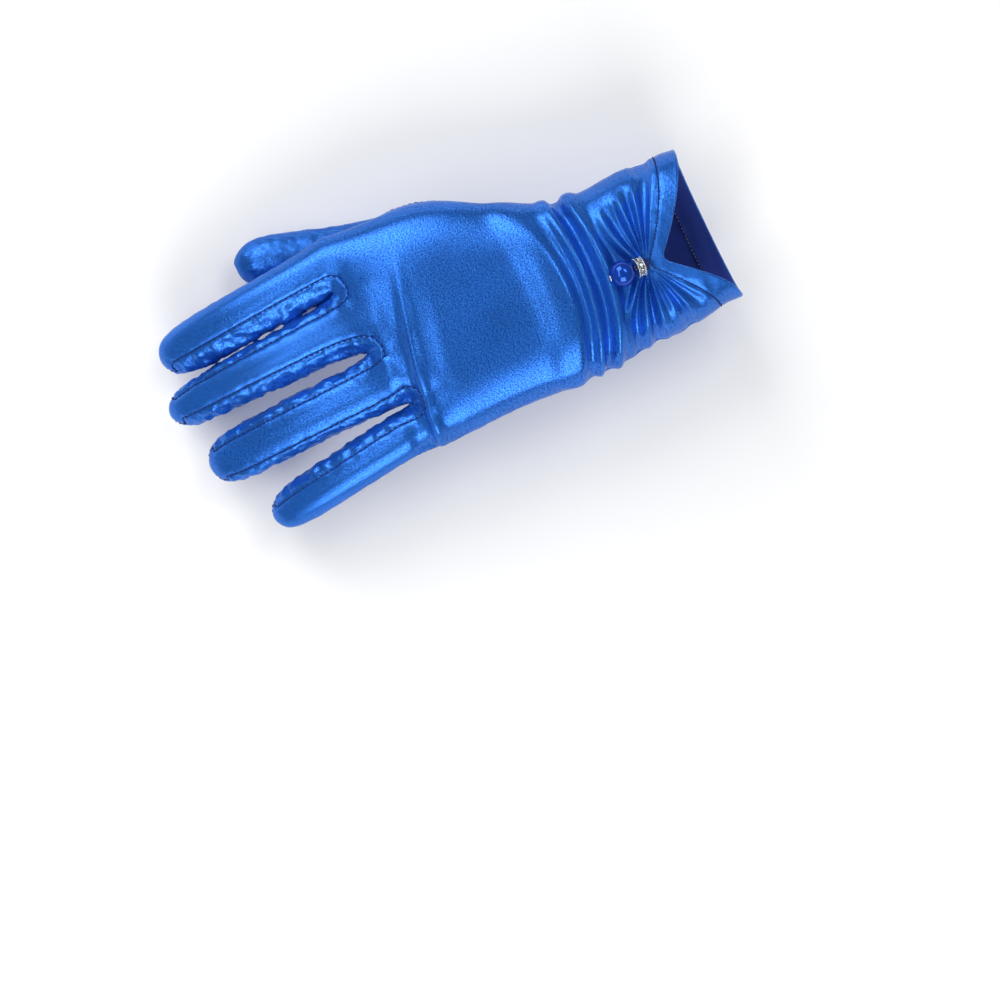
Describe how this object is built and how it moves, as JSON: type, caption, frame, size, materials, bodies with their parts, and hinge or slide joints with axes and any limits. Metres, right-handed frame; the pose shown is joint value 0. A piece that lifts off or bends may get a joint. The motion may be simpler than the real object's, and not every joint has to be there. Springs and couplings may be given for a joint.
{
  "type": "wrist length dress glove",
  "caption": "Worn left dress glove of stretch satin, with fourchettes, a set-in thumb and a cuff pinched into a V by a sewn-on rhinestone rondelle and pearl bead.",
  "frame": {"origin": "middle of the cuff's mouth, where the wrist goes in", "axes": "+Y from the mouth to the fingertips, +X to the thumb side, +Z out of the back of the hand"},
  "size_m": [0.1121, 0.2248, 0.0632],
  "materials": {
    "satin": "stretch satin, glossy side out",
    "thread": "polyester sewing thread",
    "silver": "bright silver plate",
    "rhinestone": "cut and foiled",
    "pearl": "lacquered imitation pearl"
  },
  "bodies": {
    "root": {"cuff_hem": "satin", "back_panel": "satin", "palm_panel": "satin", "fourchette_ring_little": "satin", "fourchette_middle_ring": "satin", "fourchette_index_middle": "satin", "thumb": "satin", "gather_stitch": "thread", "head_pin": "silver", "rondelle": "silver", "rhinestone_1": "rhinestone", "rhinestone_2": "rhinestone", "rhinestone_3": "rhinestone", "rhinestone_4": "rhinestone", "rhinestone_5": "rhinestone", "rhinestone_6": "rhinestone", "rhinestone_7": "rhinestone", "rhinestone_8": "rhinestone", "rhinestone_9": "rhinestone", "pearl_bead": "pearl"}
  },
  "joints": []
}
